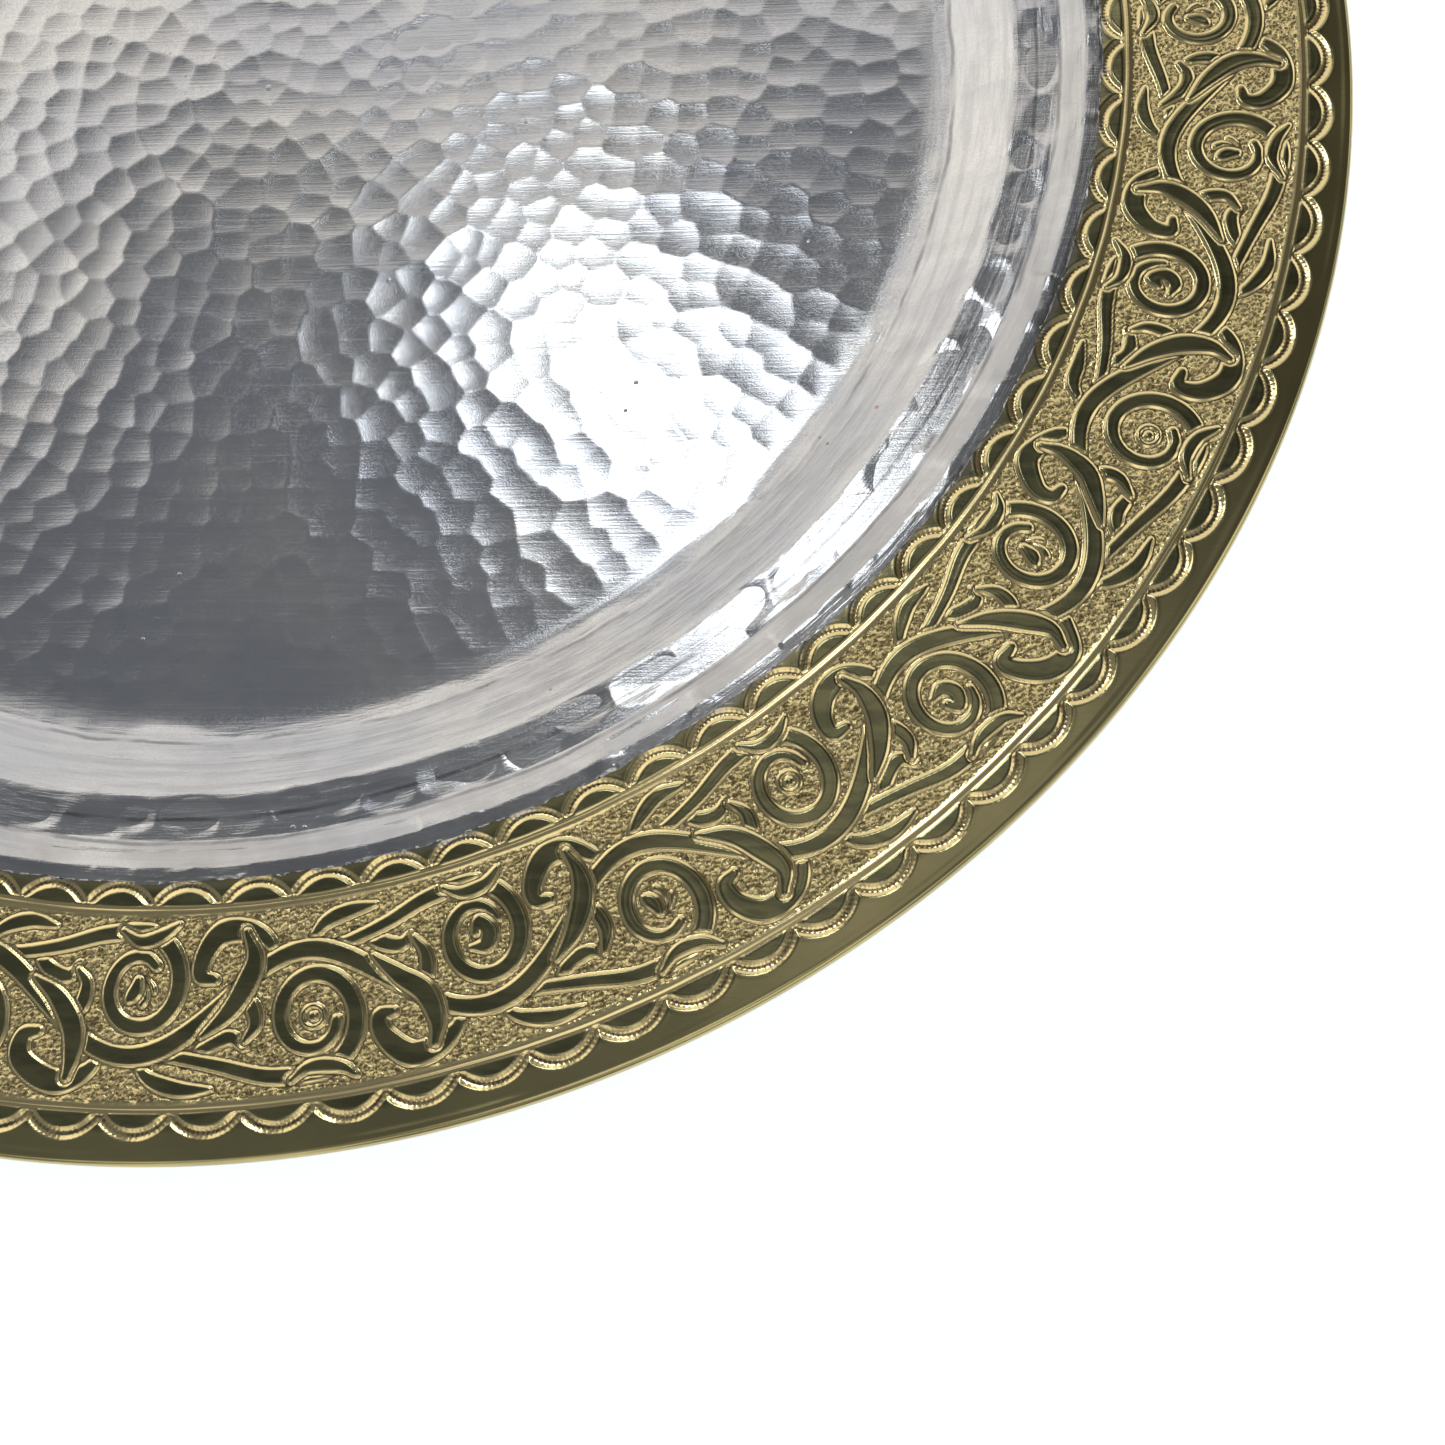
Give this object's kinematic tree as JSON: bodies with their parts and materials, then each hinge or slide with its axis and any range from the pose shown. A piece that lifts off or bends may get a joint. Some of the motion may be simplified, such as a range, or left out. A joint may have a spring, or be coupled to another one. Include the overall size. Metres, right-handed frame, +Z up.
{
  "type": "engraved round tray",
  "caption": "Large round brass serving tray with a sunk hammered tinned well, a wide flat rim with a chased ornament band between scalloped borders, and a wired edge.",
  "frame": {"origin": "centre of the flat underside that the tray rests on", "axes": "+Z up along the tray's axis; the tray is round, so X and Y are any two level directions"},
  "size_m": [0.6, 0.6, 0.0178],
  "materials": {
    "brass": "polished rim with a matt punched ground and an olive tarnish, brushed underside",
    "tin": "wiped tin, hammered and finely scratched, satin",
    "steel_wire": "drawn wire, dull"
  },
  "bodies": {
    "root": {"tray_sheet": "brass", "tin_lining": "tin", "rim_wire": "steel_wire"}
  },
  "joints": []
}
